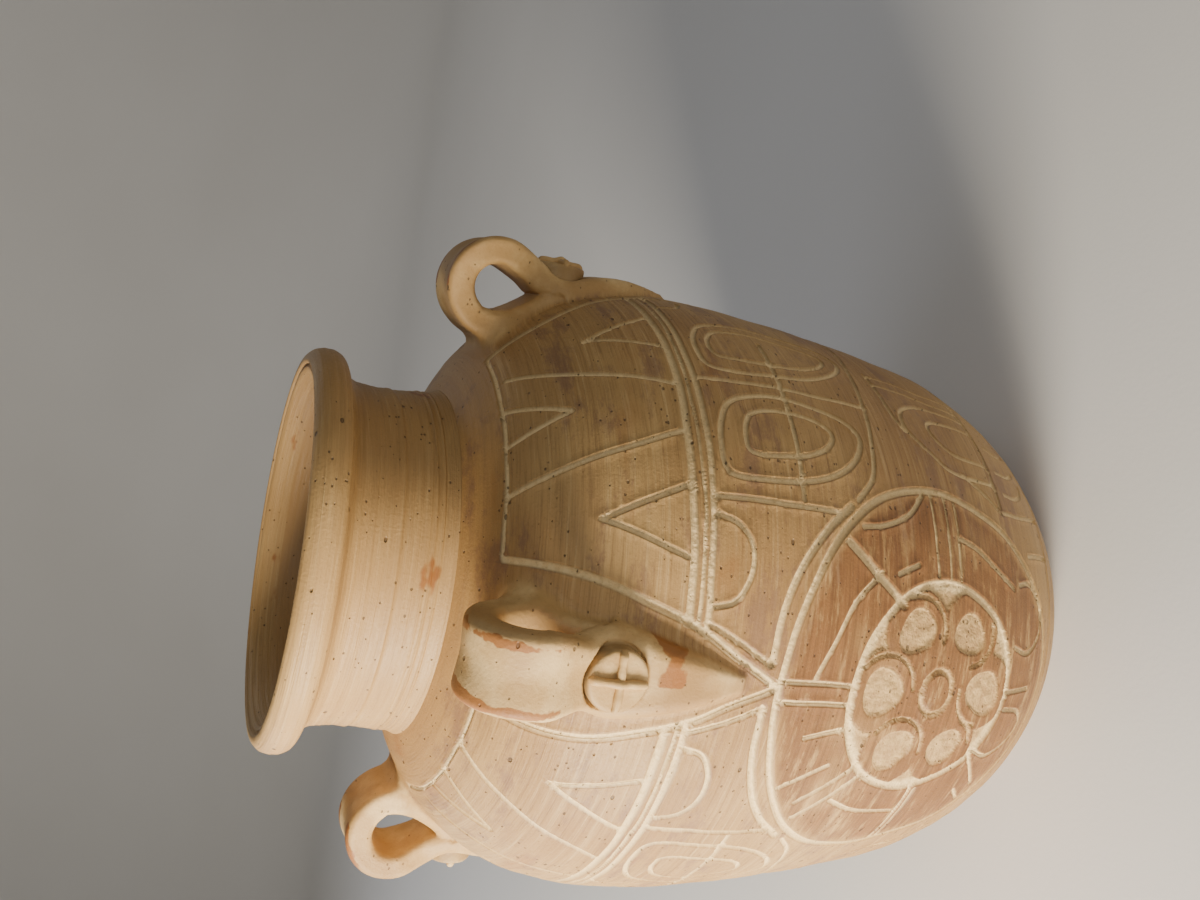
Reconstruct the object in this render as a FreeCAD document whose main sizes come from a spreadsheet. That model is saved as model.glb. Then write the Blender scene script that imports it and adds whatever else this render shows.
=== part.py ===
import FreeCAD, Part
import math
import os
import re

import Sketcher

# A hand-thrown amphora of fired clay standing on its flat base: a lower and an upper body wall, a neck,
# a rolled rim, and four strap handles at right angles, each with a round clay button (the medallion)
# that carries a small clay cross. Millimetres, +Z up, origin at the centre of the underside. Every
# piece is a PartDesign body whose outlines take their sizes from the sheet called Sizes.

# What drives the shape. Radii called *_arc are the bends of the wall seen in a cut through the axis.
DRIVING = {
    "height": 330,
    "wall": 8,
    "base_thickness": 12,
    "belly_radius": 126,
    "belly_height": 178,
    "lower_arc": 650,
    "foot_start": 80,
    "foot_arc": 134,
    "seam_height": 207,
    "upper_arc": 195,
    "shoulder_start": 219,
    "shoulder_arc": 78.5,
    "neck_foot": 277,
    "neck_radius": 67.6,
    "neck_bore": 60.5,
    "neck_flare": 7,
    "ridge_height": 285,
    "ridge_width": 4,
    "rim_foot": 307,
    "rim_radius": 78.5,
    "rim_underside": 317.5,
    "rim_thickness": 11.5,
    "rim_edge": 2,
    "rim_drop": 1.2,
    "loop_across": 114.5,
    "loop_height": 265.3,
    "loop_radius": 20.3,
    "hole_across": 115.5,
    "hole_height": 264,
    "hole_radius": 9.8,
    "root_across": 87,
    "root_bend": 14,
    "leg_angle": 40,
    "strap_half": 13,
    "waist_half": 10.3,
    "waist_height": 255,
    "seat_half": 15.5,
    "seat_across": 124.2,
    "tail_start": 231,
    "tail_end": 188.5,
    "tail_bend": 58,
    "tail_taper": 110,
    "tip_half": 2,
    "medallion_height": 237.5,
    "medallion_radius": 10.4,
    "medallion_depth": 5,
    "medallion_edge": 3.2,
    "bar_length": 18.4,
    "bar_half": 1.3,
    "bar_sink": 1,
    "bar_low": 2.4,
    "bar_high": 3.6,
}

# What follows from it: the centres of the bends, each placed so that the wall runs on without a kink.
DERIVED = {
    "lower_centre": "belly_radius - lower_arc",
    "foot_radius": "lower_centre + sqrt(lower_arc^2 - (belly_height - foot_start)^2)",
    "foot_centre": "foot_radius - (foot_radius - lower_centre) * foot_arc / lower_arc",
    "foot_middle": "foot_start + (belly_height - foot_start) * foot_arc / lower_arc",
    "upper_centre": "belly_radius - upper_arc",
    "turn_radius": "upper_centre + sqrt(upper_arc^2 - (shoulder_start - belly_height)^2)",
    "shoulder_centre": "turn_radius - (turn_radius - upper_centre) * shoulder_arc / upper_arc",
    "shoulder_middle": "shoulder_start - (shoulder_start - belly_height) * shoulder_arc / upper_arc",
    "rim_roll": "((rim_thickness / 2 - rim_edge)^2 + rim_drop^2) / (2 * rim_drop)",
    "leg_across": "loop_across + loop_radius * cos(leg_angle)",
    "leg_height": "loop_height - loop_radius * sin(leg_angle)",
    "leg_bend": "(leg_across - seat_across) / (1 - cos(leg_angle))",
    "floor_across": "seat_across + medallion_depth - bar_sink",
    "bar_round": "bar_half * 1.2",
    "bar_straight": "bar_length / 2 - bar_round + sqrt(bar_round^2 - bar_half^2)",
}

# The handles, by the direction in which each stands, in degrees from +X towards +Y.
HANDLES = {"right": 0, "back": 90, "left": 180, "front": -90}


def make_sheet(doc):
    """The sheet of sizes: driving numbers first, then the formulas that follow from them."""
    sheet = doc.addObject("Spreadsheet::Sheet", "Sizes")
    cells = {name: str(value) for name, value in DRIVING.items()}
    cells.update({name: "=" + formula for name, formula in DERIVED.items()})
    for row, (name, content) in enumerate(cells.items(), start=1):
        sheet.set(f"A{row}", name)
        sheet.set(f"B{row}", content)
        sheet.setAlias(f"B{row}", name)
    doc.recompute()


def sized(formula):
    """The formula with each of the sheet's names written as Sizes.name."""
    return re.sub(r"\b(?!(?:sqrt|sin|cos)\b)[a-z][a-z_]+\b", r"Sizes.\g<0>", formula)


def arc_radius_at(centre, middle, arc, height):
    """Formula for how far from the axis a wall bend is at a height."""
    return f"{centre} + sqrt(({arc})^2 - ({height} - {middle})^2)"


def foot_at(height, inset="0"):
    """How far out the wall's lowest bend is at a height, the inset measured into the wall."""
    return arc_radius_at("foot_centre", "foot_middle", f"foot_arc - {inset}", height)


def lower_at(height, inset="0"):
    """How far out the long bend below the belly is at a height."""
    return arc_radius_at("lower_centre", "belly_height", f"lower_arc - {inset}", height)


def upper_at(height, inset="0"):
    """How far out the bend above the belly is at a height."""
    return arc_radius_at("upper_centre", "belly_height", f"upper_arc - {inset}", height)


def shoulder_at(height, inset="0"):
    """How far out the shoulder's bend is at a height."""
    return arc_radius_at("shoulder_centre", "shoulder_middle", f"shoulder_arc - {inset}", height)


def inner_joint(centre, middle, radius, height, arc):
    """The point on the wall's inner face, square across the wall from the outer point given."""
    across = f"{radius} - ({radius} - {centre}) * wall / {arc}"
    up = f"{height} - ({height} - {middle}) * wall / {arc}"
    return across, up


def make_body(doc, label):
    """A new body with its label; the label names the piece's file."""
    body = doc.addObject("PartDesign::Body", label)
    body.Label = label
    return body


def plane_of(body, role):
    """One of the body's own origin planes."""
    return next(item for item in body.Origin.OriginFeatures if item.Role == role)


def make_sketch(body, name, role, offset=None):
    """An empty sketch on an origin plane, moved along the plane's normal by a formula if one is given."""
    sketch = body.newObject("Sketcher::SketchObject", name)
    sketch.AttachmentSupport = (plane_of(body, role), [""])
    sketch.MapMode = "FlatFace"
    if offset:
        sketch.setExpression("AttachmentOffset.Base.z", sized(offset))
    body.Document.recompute()
    return sketch


def arc_between(start, end, radius, turn):
    """An arc from start to end, turning left (turn 1) or right (turn -1), shorter than half a circle."""
    chord = end - start
    reach = math.sqrt(max(radius**2 - (chord.Length / 2) ** 2, 0))
    side = FreeCAD.Vector(-chord.y, chord.x, 0).normalize() * turn
    centre = (start + end) * 0.5 + side * reach
    first, last = (start, end) if turn > 0 else (end, start)
    angles = [math.atan2(point.y - centre.y, point.x - centre.x) for point in (first, last)]
    circle = Part.Circle(centre, FreeCAD.Vector(0, 0, 1), radius)
    return Part.ArcOfCircle(circle, angles[0], angles[1])


def bind(sketch, number, formula):
    """Ties one constraint of a sketch to a formula in the sheet's names."""
    sketch.setExpression(f"Constraints[{number}]", sized(formula))


def place_point(sketch, edge, end, point):
    """Fixes one end of an edge at a distance across and up from the sketch's origin."""
    for kind, formula in zip(("DistanceX", "DistanceY"), point):
        value = float(sketch.evalExpression(sized(formula)))
        number = sketch.addConstraint(Sketcher.Constraint(kind, -1, 1, edge, end, value))
        bind(sketch, number, formula)


def add_outline(sketch, corners):
    """A closed outline. A corner is (across, up) and may carry (radius, turn) for the edge after it."""
    points = []
    for corner in corners:
        across, up = (float(sketch.evalExpression(sized(formula))) for formula in corner[:2])
        points.append(FreeCAD.Vector(across, up, 0))
    edges = []
    for number, corner in enumerate(corners):
        start = points[number]
        end = points[(number + 1) % len(points)]
        if len(corner) == 2:
            edges.append((sketch.addGeometry(Part.LineSegment(start, end)), 1, 2, None))
            continue
        formula, turn = corner[2:]
        radius = float(sketch.evalExpression(sized(formula)))
        edge = sketch.addGeometry(arc_between(start, end, radius, turn))
        first, last = (1, 2) if turn > 0 else (2, 1)
        edges.append((edge, first, last, formula))
    for (edge, _, last, _), after in zip(edges, edges[1:] + edges[:1]):
        sketch.addConstraint(Sketcher.Constraint("Coincident", edge, last, after[0], after[1]))
    for (edge, first, _, formula), corner in zip(edges, corners):
        place_point(sketch, edge, first, corner[:2])
        if formula:
            radius = float(sketch.evalExpression(sized(formula)))
            bind(sketch, sketch.addConstraint(Sketcher.Constraint("Radius", edge, radius)), formula)
    sketch.Document.recompute()


def add_circle(sketch, across, up, radius):
    """A circle placed and sized by formulas."""
    numbers = [float(sketch.evalExpression(sized(formula))) for formula in (across, up, radius)]
    centre = FreeCAD.Vector(numbers[0], numbers[1], 0)
    edge = sketch.addGeometry(Part.Circle(centre, FreeCAD.Vector(0, 0, 1), numbers[2]))
    place_point(sketch, edge, 3, (across, up))
    bind(sketch, sketch.addConstraint(Sketcher.Constraint("Radius", edge, numbers[2])), radius)
    sketch.Document.recompute()


def add_feature(body, kind, name, sketch, **settings):
    """A feature built on a sketch, with its plain settings."""
    feature = body.newObject(kind, name)
    feature.Profile = sketch
    for setting, value in settings.items():
        setattr(feature, setting, value)
    sketch.Visibility = False
    body.Document.recompute()
    return feature


def revolve(doc, label, corners):
    """A body turned about Z from an outline in the XZ plane."""
    body = make_body(doc, label)
    sketch = make_sketch(body, label + "_section", "XZ_Plane")
    add_outline(sketch, corners)
    add_feature(body, "PartDesign::Revolution", label + "_turned", sketch,
                ReferenceAxis=(sketch, ["V_Axis"]), Angle=360)
    return body


def round_edges(body, name, wanted, size):
    """Rounds the edges of the body's tip that the test picks out."""
    base = body.Tip
    names = [f"Edge{n}" for n, edge in enumerate(base.Shape.Edges, start=1) if wanted(edge)]
    fillet = body.newObject("PartDesign::Fillet", name)
    fillet.Base = (base, names)
    fillet.setExpression("Radius", sized(size))
    body.Document.recompute()
    return fillet


def make_base_disc(doc):
    """The slab that closes the body below, its edge following the wall's lowest bend."""
    corners = [
        ("0", "0"),
        (foot_at("0"), "0", "foot_arc", 1),
        (foot_at("base_thickness"), "base_thickness"),
        ("0", "base_thickness"),
    ]
    return revolve(doc, "base_disc", corners)


def make_lower_body(doc):
    """The wall from the base slab up past the belly to the seam."""
    inner_foot = inner_joint("foot_centre", "foot_middle", "foot_radius", "foot_start", "foot_arc")
    corners = [
        (foot_at("base_thickness"), "base_thickness", "foot_arc", 1),
        ("foot_radius", "foot_start", "lower_arc", 1),
        ("belly_radius", "belly_height", "upper_arc", 1),
        (upper_at("seam_height"), "seam_height"),
        (upper_at("seam_height", "wall"), "seam_height", "upper_arc - wall", -1),
        ("belly_radius - wall", "belly_height", "lower_arc - wall", -1),
        (*inner_foot, "foot_arc - wall", -1),
        (foot_at("base_thickness", "wall"), "base_thickness"),
    ]
    return revolve(doc, "lower_body", corners)


def make_upper_body(doc):
    """The wall from the seam over the shoulder to the foot of the neck."""
    inner_turn = inner_joint("upper_centre", "belly_height", "turn_radius", "shoulder_start", "upper_arc")
    under_neck = "shoulder_middle + sqrt((shoulder_arc - wall)^2 - (neck_bore - shoulder_centre)^2)"
    corners = [
        (upper_at("seam_height"), "seam_height", "upper_arc", 1),
        ("turn_radius", "shoulder_start", "shoulder_arc", 1),
        (shoulder_at("neck_foot"), "neck_foot"),
        ("neck_bore", "neck_foot"),
        ("neck_bore", under_neck, "shoulder_arc - wall", -1),
        (*inner_turn, "upper_arc - wall", -1),
        (upper_at("seam_height", "wall"), "seam_height"),
    ]
    return revolve(doc, "upper_body", corners)


def make_neck_collar(doc):
    """The straight neck, flared at its foot, with a low ridge running round above the flare."""
    ridge_low = "ridge_height - ridge_width / 2"
    ridge_high = "ridge_height + ridge_width / 2"
    corners = [
        ("neck_bore", "neck_foot"),
        (shoulder_at("neck_foot"), "neck_foot", "neck_flare", -1),
        ("neck_radius", ridge_low, "ridge_width * 0.6", 1),
        ("neck_radius", ridge_high),
        ("neck_radius", "rim_foot"),
        ("neck_bore", "rim_foot"),
    ]
    return revolve(doc, "neck_collar", corners)


def make_rim_ring(doc):
    """The rolled rim: it flares out of the neck, turns over and slopes back down into the mouth."""
    corners = [
        ("neck_bore", "rim_foot"),
        ("neck_radius", "rim_foot", "neck_flare * 2", -1),
        ("rim_radius - 4.5", "rim_underside - 0.8"),
        ("rim_radius - 1", "rim_underside + 0.7", "rim_thickness * 0.7", 1),
        ("rim_radius - rim_edge", "height - rim_drop", "rim_roll", 1),
        ("rim_radius - rim_thickness / 2", "height", "rim_roll", 1),
        ("rim_radius - rim_thickness", "height - 3.5"),
        ("neck_bore + 1", "rim_underside - 2", "neck_flare * 2", 1),
    ]
    return revolve(doc, "rim_ring", corners)


def strap_outline():
    """The handle seen from the side: root, round loop, leg back to the wall, tail lying on the wall."""
    root_height = "shoulder_middle + sqrt(shoulder_arc^2 - (root_across - shoulder_centre)^2)"
    return [
        ("root_across", "waist_height"),
        ("root_across", root_height, "root_bend", 1),
        ("loop_across - loop_radius * cos(30)", "loop_height + loop_radius / 2", "loop_radius", -1),
        ("loop_across", "loop_height + loop_radius", "loop_radius", -1),
        ("loop_across + loop_radius", "loop_height", "loop_radius", -1),
        ("leg_across", "leg_height", "leg_bend", 1),
        ("seat_across", "leg_height - leg_bend * sin(leg_angle)"),
        ("seat_across", "tail_start", "tail_bend", -1),
        (upper_at("tail_end"), "tail_end"),
        (upper_at("tail_end", "wall"), "tail_end"),
    ]


def width_outline(side):
    """What is trimmed off one edge of the strap: beside the loop, at the waist and along the tail."""
    margin = f"{side} * (seat_half + 4)"
    return [
        (margin, "tail_end - 4"),
        (f"{side} * tip_half", "tail_end - 4"),
        (f"{side} * tip_half", "tail_end + 1", "tail_taper", side),
        (f"{side} * seat_half", "tail_start"),
        (f"{side} * seat_half", "medallion_height + 4"),
        (f"{side} * waist_half", "waist_height"),
        (f"{side} * strap_half", "waist_height + 14"),
        (f"{side} * strap_half", "height"),
        (margin, "height"),
    ]


def body_outline():
    """The outside of the body from the belly to the neck, closed at the axis."""
    return [
        ("0", "belly_height"),
        ("belly_radius", "belly_height", "upper_arc", 1),
        ("turn_radius", "shoulder_start", "shoulder_arc", 1),
        (shoulder_at("neck_foot"), "neck_foot"),
        ("0", "neck_foot"),
    ]


def make_handle(doc, side, angle):
    """One strap handle, built facing +X and turned into place, its inner side fitting the body."""
    label = "handle_" + side
    body = make_body(doc, label)
    profile = make_sketch(body, label + "_profile", "XZ_Plane")
    add_outline(profile, strap_outline())
    add_circle(profile, "hole_across", "hole_height", "hole_radius")
    strap = add_feature(body, "PartDesign::Pad", label + "_strap", profile, Midplane=True)
    strap.setExpression("Length", sized("seat_half * 2"))
    doc.recompute()
    for edge, way in (("near", 1), ("far", -1)):
        trim = make_sketch(body, f"{label}_{edge}_edge", "YZ_Plane")
        add_outline(trim, width_outline(way))
        add_feature(body, "PartDesign::Pocket", f"{label}_{edge}_trim", trim, Type=1, Midplane=True)
    seat = make_sketch(body, label + "_seat", "YZ_Plane", "seat_across")
    add_circle(seat, "0", "medallion_height", "medallion_radius")
    add_feature(body, "PartDesign::Pocket", label + "_seat_cut", seat, Type=1, Reversed=True)
    wall = make_sketch(body, label + "_wall", "XZ_Plane")
    add_outline(wall, body_outline())
    add_feature(body, "PartDesign::Groove", label + "_fit", wall,
                ReferenceAxis=(wall, ["V_Axis"]), Angle=360)
    body.Placement.Rotation = FreeCAD.Rotation(FreeCAD.Vector(0, 0, 1), angle)
    return body


def make_medallion(doc, side, angle):
    """The round clay button on a handle, with the beds that the bars of the cross are pressed into."""
    label = "medallion_" + side
    body = make_body(doc, label)
    disc = make_sketch(body, label + "_disc", "YZ_Plane", "seat_across")
    add_circle(disc, "0", "medallion_height", "medallion_radius")
    button = add_feature(body, "PartDesign::Pad", label + "_button", disc)
    button.setExpression("Length", sized("medallion_depth"))
    doc.recompute()
    face = button.Shape.BoundBox.XMax
    round_edges(body, label + "_soft", lambda edge: edge.BoundBox.XMin > face - 0.01, "medallion_edge")
    for name, upright in (("across", False), ("upright", True)):
        plan = make_sketch(body, f"{label}_{name}_plan", "YZ_Plane", "seat_across + medallion_depth")
        add_outline(plan, bar_outline(upright))
        bed = add_feature(body, "PartDesign::Pocket", f"{label}_{name}_bed", plan)
        bed.setExpression("Length", sized("bar_sink"))
        doc.recompute()
    body.Placement.Rotation = FreeCAD.Rotation(FreeCAD.Vector(0, 0, 1), angle)
    return body


def bar_outline(along_z):
    """A bar with round ends lying across the medallion, or standing along Z."""
    corners = []
    for long_way, short_way, bend in ((1, -1, True), (1, 1, False), (-1, 1, True), (-1, -1, False)):
        long_part = f"{long_way} * bar_straight"
        if along_z:
            point = (f"{-short_way} * bar_half", f"medallion_height + {long_part}")
        else:
            point = (long_part, f"medallion_height + {short_way} * bar_half")
        corners.append(point + (("bar_round", 1) if bend else ()))
    return corners


def make_bar(doc, side, angle, upright):
    """A clay bar of the cross. The upright one lies over the other and is notched to sit on it."""
    label = ("bar_upright_" if upright else "bar_across_") + side
    body = make_body(doc, label)
    plan = make_sketch(body, label + "_plan", "YZ_Plane", "floor_across")
    add_outline(plan, bar_outline(upright))
    bar = add_feature(body, "PartDesign::Pad", label + "_bar", plan)
    bar.setExpression("Length", sized("bar_high" if upright else "bar_low"))
    doc.recompute()
    top = bar.Shape.BoundBox.XMax
    round_edges(body, label + "_soft", lambda edge: edge.BoundBox.XMin > top - 0.01, "bar_half / 2")
    if upright:
        notch = make_sketch(body, label + "_notch", "XZ_Plane")
        corners = [
            ("floor_across", "medallion_height - bar_half"),
            ("floor_across + bar_low", "medallion_height - bar_half"),
            ("floor_across + bar_low", "medallion_height + bar_half"),
            ("floor_across", "medallion_height + bar_half"),
        ]
        add_outline(notch, corners)
        add_feature(body, "PartDesign::Pocket", label + "_notched", notch, Type=1, Midplane=True)
    body.Placement.Rotation = FreeCAD.Rotation(FreeCAD.Vector(0, 0, 1), angle)
    return body


def check(doc, bodies):
    """Stops at the first object that failed or body that isn't one sound solid."""
    for item in doc.Objects:
        if {"Invalid", "Error"} & set(item.State):
            raise RuntimeError(f"{item.Label} is {item.State}")
    for body in bodies:
        shape = body.Shape
        if shape.isNull() or not shape.isValid() or len(shape.Solids) != 1:
            raise RuntimeError(f"{body.Label} isn't one valid solid")


def make_pieces(doc):
    """Every piece of the amphora."""
    pieces = [
        make_base_disc(doc),
        make_lower_body(doc),
        make_upper_body(doc),
        make_neck_collar(doc),
        make_rim_ring(doc),
    ]
    for side, angle in HANDLES.items():
        pieces.append(make_handle(doc, side, angle))
        pieces.append(make_medallion(doc, side, angle))
        pieces.append(make_bar(doc, side, angle, upright=False))
        pieces.append(make_bar(doc, side, angle, upright=True))
    doc.recompute()
    return pieces


document = FreeCAD.newDocument("amphora")
make_sheet(document)
made = make_pieces(document)
check(document, made)
os.makedirs("parts", exist_ok=True)
for piece in made:
    piece.Shape.exportStep(os.path.join("parts", piece.Label + ".step"))
    box = piece.Shape.BoundBox
    size = f"{box.XLength:.1f} x {box.YLength:.1f} x {box.ZLength:.1f}"
    print(f"{piece.Label}: {size}, {piece.Shape.Volume:.0f}")
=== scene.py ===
import math

import bpy
import numpy as np
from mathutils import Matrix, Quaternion, Vector
from mathutils.geometry import delaunay_2d_cdt


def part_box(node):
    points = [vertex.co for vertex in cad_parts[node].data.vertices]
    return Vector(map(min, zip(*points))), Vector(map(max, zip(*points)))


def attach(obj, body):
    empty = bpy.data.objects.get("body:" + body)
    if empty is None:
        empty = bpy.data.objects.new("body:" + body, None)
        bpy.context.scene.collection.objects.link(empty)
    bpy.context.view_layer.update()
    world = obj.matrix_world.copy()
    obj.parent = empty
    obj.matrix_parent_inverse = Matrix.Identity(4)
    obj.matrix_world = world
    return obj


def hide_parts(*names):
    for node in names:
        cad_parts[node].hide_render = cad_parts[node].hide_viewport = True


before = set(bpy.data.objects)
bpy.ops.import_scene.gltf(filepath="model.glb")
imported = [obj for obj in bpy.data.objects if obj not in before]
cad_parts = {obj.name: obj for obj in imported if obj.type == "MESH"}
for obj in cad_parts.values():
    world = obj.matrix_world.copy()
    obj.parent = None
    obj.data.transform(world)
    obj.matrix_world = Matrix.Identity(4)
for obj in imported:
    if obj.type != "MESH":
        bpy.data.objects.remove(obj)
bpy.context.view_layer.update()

# The amphora's looks. Shapes are worked out in millimetres and written in metres. Angles go round the
# axis in degrees from the front handle (0) towards the right one (90), heights are above the table.
MM = 0.001
rng = np.random.default_rng(7)


def span(node, axis):
    """The lowest and highest coordinate of a CAD node along an axis, in millimetres."""
    low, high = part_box(node)
    return low[axis] / MM, high[axis] / MM


# The wall's line, as in the CAD part: four bends that run into one another.
FLOOR = span("base_disc", 2)[1]
SEAM = span("lower_body", 2)[1]
NECK_FOOT = span("upper_body", 2)[1]
RIM_FOOT = span("neck_collar", 2)[1]
TOP = span("rim_ring", 2)[1]
BELLY = span("lower_body", 0)[1]
BELLY_HEIGHT = 178.0
WALL = 8.0
LOWER_ARC, LOWER_END = 650.0, 80.0
FOOT_ARC = 134.0
UPPER_ARC, UPPER_END = 195.0, 219.0
SHOULDER_ARC = 78.5
NECK_BORE = 60.5
NECK = 67.6

# The scratched drawing: how wide and deep the tool goes, and the burr it throws up beside it.
LINE = 2.3
BROAD = 3.2
BURR = 0.22
DEPTH = 1.25
PETAL_DEPTH = 1.1
FILLING_DEPTH = 0.9


def bend_end(centre, middle, arc, height):
    """How far out a bend is at a height."""
    return centre + np.sqrt(np.maximum(arc**2 - (height - middle) ** 2, 0))


def next_bend(centre, middle, arc, height, next_arc):
    """Centre and middle height of the bend that carries on from one at a height without a kink."""
    out = bend_end(centre, middle, arc, height)
    share = next_arc / arc
    return out - (out - centre) * share, height - (height - middle) * share


FOOT_CENTRE, FOOT_MIDDLE = next_bend(BELLY - LOWER_ARC, BELLY_HEIGHT, LOWER_ARC, LOWER_END, FOOT_ARC)
TURN_CENTRE, TURN_MIDDLE = next_bend(BELLY - UPPER_ARC, BELLY_HEIGHT, UPPER_ARC, UPPER_END, SHOULDER_ARC)


def wall_radius(height):
    """How far out the body's outer face is at a height, in the foot, belly and shoulder."""
    height = np.asarray(height, float)
    pieces = [
        bend_end(FOOT_CENTRE, FOOT_MIDDLE, FOOT_ARC, height),
        bend_end(BELLY - LOWER_ARC, BELLY_HEIGHT, LOWER_ARC, height),
        bend_end(BELLY - UPPER_ARC, BELLY_HEIGHT, UPPER_ARC, height),
    ]
    tests = [height < LOWER_END, height < BELLY_HEIGHT, height < UPPER_END]
    return np.select(tests, pieces, bend_end(TURN_CENTRE, TURN_MIDDLE, SHOULDER_ARC, height))


def wall_slope(height):
    """How fast the body's outer face moves out as it rises."""
    reach = 0.2
    return (wall_radius(height + reach) - wall_radius(height - reach)) / (2 * reach)


# Distance along the wall's line from its foot, against height.
HEIGHTS = np.arange(FLOOR, NECK_FOOT + 0.1, 0.2)
ALONG = np.concatenate([[0], np.cumsum(np.hypot(np.diff(HEIGHTS), np.diff(wall_radius(HEIGHTS))))])


def along_at(height):
    """Distance along the wall's line at a height."""
    return np.interp(height, HEIGHTS, ALONG)


def height_at(along):
    """Height at a distance along the wall's line."""
    return np.interp(along, ALONG, HEIGHTS)


def wobble(angle, height):
    """How far a hand-thrown wall strays from round. It dies away at the foot and at the neck."""
    turn = np.radians(angle)
    stray = 0.55 * np.sin(2 * turn + 0.4 + height / 90) + 0.3 * np.sin(3 * turn + 2.0 - height / 60)
    stray = stray + 0.22 * np.sin(5 * turn + height / 31) + 0.16 * np.sin(height / 5.2 + 0.6 * np.sin(turn))
    fade = np.clip((height - FLOOR) / 30, 0, 1) * np.clip((NECK_FOOT - height) / 20, 0, 1)
    return stray * fade - 0.35 * fade


def smooth(low, high, value):
    """0 below low, 1 above high, an even rise between."""
    t = np.clip((value - low) / (high - low), 0, 1)
    return t * t * (3 - 2 * t)


def place(angle, radius, height):
    """Points in metres from angle, radius and height."""
    turn = np.radians(angle) - math.pi / 2
    return np.stack([radius * np.cos(turn), radius * np.sin(turn), height + 0 * radius], -1) * MM


# The drawing. A stroke is (width, points), each point (angle, height).


def spline(ring, steps):
    """A smooth line through every point of a row but its first and last."""
    t = np.linspace(0, 1, steps, endpoint=False)[:, None]
    parts = []
    for p0, p1, p2, p3 in zip(ring, ring[1:], ring[2:], ring[3:]):
        bend = (p2 - p0) * t + (2 * p0 - 5 * p1 + 4 * p2 - p3) * t**2 + (3 * p1 - p0 - 3 * p2 + p3) * t**3
        parts.append(p1 + 0.5 * bend)
    return np.vstack(parts)


def curve(points):
    """A smooth line through a few points, as (angle, distance along the wall), closed if its ends meet."""
    points = np.array([(a, along_at(z)) for a, z in points], float)
    if len(points) == 2:
        return np.linspace(points[0], points[1], 60)
    if np.allclose(points[0], points[-1]):
        ring = np.vstack([points[-2], points, points[1]])
    else:
        ring = np.vstack([2 * points[0] - points[1], points, 2 * points[-1] - points[-2]])
    return np.vstack([spline(ring, 24), points[-1]])


def oval(angle, height, half_wide, half_high, start=0, end=360):
    """Points round an oval, or part of one; 0 is to the right and angles go up over the top."""
    steps = np.radians(np.linspace(start, end, max(4, int(abs(end - start) / 15))))
    return [(angle + half_wide * math.cos(s), height + half_high * math.sin(s)) for s in steps]


# The circles are below the front and back handles. An oval is its middle's angle and height, then its
# half width in degrees and its half height. The petals go round the flower's middle in an orbit that
# is a share of its half size, and a hook is where the line round a petal starts and ends.
CIRCLE_TURNS = (0, 180)
CIRCLE = (0, 106, 35.4, 70)
FLOWER = (0, 105, 19, 40)
PETAL_ORBIT = 0.65
PETAL_TURNS = [90, 32, -31, -90, -150, 150]
PETAL_HOOKS = [(50, -85), (20, -105), (190, 290), (175, 85), (-20, -80), (55, -95)]


def petals():
    """The middle and half sizes of the six carved petals."""
    angle, height, wide, high = FLOWER
    for number, turn in enumerate(PETAL_TURNS):
        t = math.radians(turn)
        grow = 1 + 0.08 * math.sin(number * 2.3 + 1)
        yield (angle + PETAL_ORBIT * wide * math.cos(t), height + PETAL_ORBIT * high * math.sin(t),
               4.2 * grow, 9.4 * grow)


def petal_shape(number):
    """How far a petal leans, and how far out its uneven edge is towards each turn about its middle."""
    return 0.2 * math.sin(number * 1.7), lambda turns: 1 + 0.06 * np.sin(turns * 3 + number)


def both_sides(strokes):
    """Strokes, and the same ones mirrored about the handle."""
    return strokes + turned(strokes, 0, True)


def handle_strokes():
    """The lines down both sides of a handle, whose own angle is 0, that meet below its tail."""
    return both_sides([
        (BROAD, [(15.8, 267), (15, 252), (13.4, 240), (11, 227), (8.7, 214), (6.4, 203), (3.8, 193),
                 (0.4, 178)]),
        (LINE, [(8.8, 206), (6.3, 193), (3.4, 181)]),
    ])


def circle_strokes():
    """The circle below the front handle or the back one, with its flower and spokes."""
    strokes = both_sides([(BROAD, [(3.5, 181), (11, 179.5), (19, 173), (25, 163), (30, 151)])])
    strokes += [(LINE, [(-2.4, 176), (-2.4, 145)]), (LINE, [(0.9, 176), (0.9, 145)])]
    strokes.append((BROAD, oval(*CIRCLE)))
    strokes.append((BROAD * 1.15, oval(*FLOWER)))
    strokes.append((BROAD, oval(0, FLOWER[1], 4, 8)))
    for (angle, height, wide, high), hook in zip(petals(), PETAL_HOOKS):
        strokes.append((LINE, oval(angle, height, wide + 1.7, high + 3.6, *hook)))
    right = [
        [(1.8, 162), (7, 157), (14, 150), (19.5, 138)],
        [(19.5, 130), (21.5, 120)],
        [(26.5, 146), (27.5, 135), (30, 123), (34, 115)],
        [(27.5, 97), (26, 87), (22, 73), (20, 66)],
        [(8.5, 64), (7.5, 54), (10, 47), (13.5, 44.5), (18, 46.5), (21.5, 54), (21, 62)],
    ]
    left = [
        [(-8.5, 160), (-6.5, 142)],
        [(-18, 163), (-13.5, 145.5)],
        [(-25, 150), (-15, 128)],
        [(-21.5, 152), (-14, 133)],
        [(-21, 137), (-24, 123), (-25.5, 102)],
        [(-34.5, 99.5), (-19.5, 99.5)],
        [(-34, 96.5), (-20, 96.5)],
        [(-12, 76), (-17, 68), (-22, 60)],
        [(-22, 72), (-26, 64)],
        [(-12, 72), (-14, 62), (-12, 51), (-8, 46.5), (-4.8, 51), (-3.8, 63)],
    ]
    strokes += [(LINE, points) for points in right + left]
    strokes += [(LINE * 0.6, [(20, height), (34.7, height)]) for height in (110, 104, 98)]
    strokes.append((BROAD * 1.2, [(23.5, 152.5), (19, 140), (14.5, 127)]))
    strokes.append((LINE, [(0, 64), (0, 48)]))
    return strokes


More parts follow.
